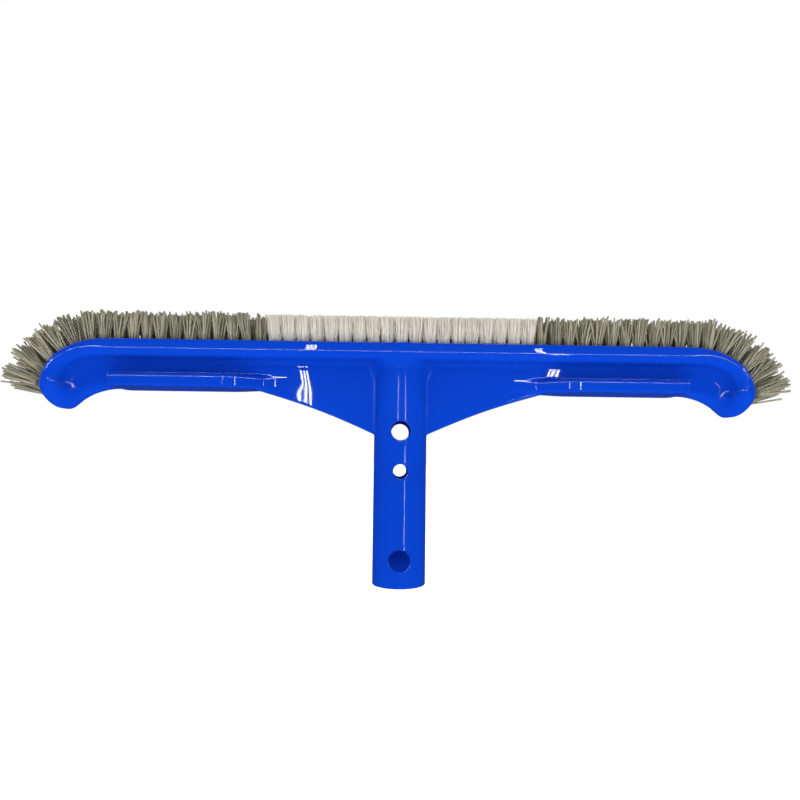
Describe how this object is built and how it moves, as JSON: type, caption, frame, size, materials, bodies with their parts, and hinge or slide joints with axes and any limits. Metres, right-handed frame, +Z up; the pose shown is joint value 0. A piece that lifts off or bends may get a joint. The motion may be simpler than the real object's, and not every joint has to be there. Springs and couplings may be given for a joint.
{
  "type": "pool wall brush",
  "caption": "Wall brush with a blue moulded back, curled ends, grey outer and white middle bristle tufts, and a hollow pole socket with cross holes.",
  "frame": {"origin": "centre of the pole socket's open end, on its axis", "axes": "+Z up the socket towards the bristles, +X along the brush, +Y towards its back; the socket's single-wall button hole faces -Y"},
  "size_m": [0.4446, 0.039, 0.1535],
  "materials": {
    "blue_plastic": "glossy injection-moulded blue plastic",
    "grey_nylon": "stiff grey-olive filament",
    "white_nylon": "fine off-white filament",
    "anchor_wire": "plain flat wire"
  },
  "bodies": {
    "root": {"anchors_centre_white_row_1": "anchor_wire", "anchors_centre_white_row_2": "anchor_wire", "anchors_centre_white_row_3": "anchor_wire", "anchors_centre_white_row_4": "anchor_wire", "anchors_left_end_grey_row_1": "anchor_wire", "anchors_left_end_grey_row_2": "anchor_wire", "anchors_left_end_grey_row_3": "anchor_wire", "anchors_left_end_grey_row_4": "anchor_wire", "anchors_left_grey_row_1": "anchor_wire", "anchors_left_grey_row_2": "anchor_wire", "anchors_left_grey_row_3": "anchor_wire", "anchors_left_grey_row_4": "anchor_wire", "anchors_right_end_grey_row_1": "anchor_wire", "anchors_right_end_grey_row_2": "anchor_wire", "anchors_right_end_grey_row_3": "anchor_wire", "anchors_right_end_grey_row_4": "anchor_wire", "anchors_right_grey_row_1": "anchor_wire", "anchors_right_grey_row_2": "anchor_wire", "anchors_right_grey_row_3": "anchor_wire", "anchors_right_grey_row_4": "anchor_wire", "brush_back": "blue_plastic", "tufts_centre_white_row_1": "white_nylon", "tufts_centre_white_row_2": "white_nylon", "tufts_centre_white_row_3": "white_nylon", "tufts_centre_white_row_4": "white_nylon", "tufts_left_end_grey_row_1": "grey_nylon", "tufts_left_end_grey_row_2": "grey_nylon", "tufts_left_end_grey_row_3": "grey_nylon", "tufts_left_end_grey_row_4": "grey_nylon", "tufts_left_grey_row_1": "grey_nylon", "tufts_left_grey_row_2": "grey_nylon", "tufts_left_grey_row_3": "grey_nylon", "tufts_left_grey_row_4": "grey_nylon", "tufts_right_end_grey_row_1": "grey_nylon", "tufts_right_end_grey_row_2": "grey_nylon", "tufts_right_end_grey_row_3": "grey_nylon", "tufts_right_end_grey_row_4": "grey_nylon", "tufts_right_grey_row_1": "grey_nylon", "tufts_right_grey_row_2": "grey_nylon", "tufts_right_grey_row_3": "grey_nylon", "tufts_right_grey_row_4": "grey_nylon"}
  },
  "joints": []
}
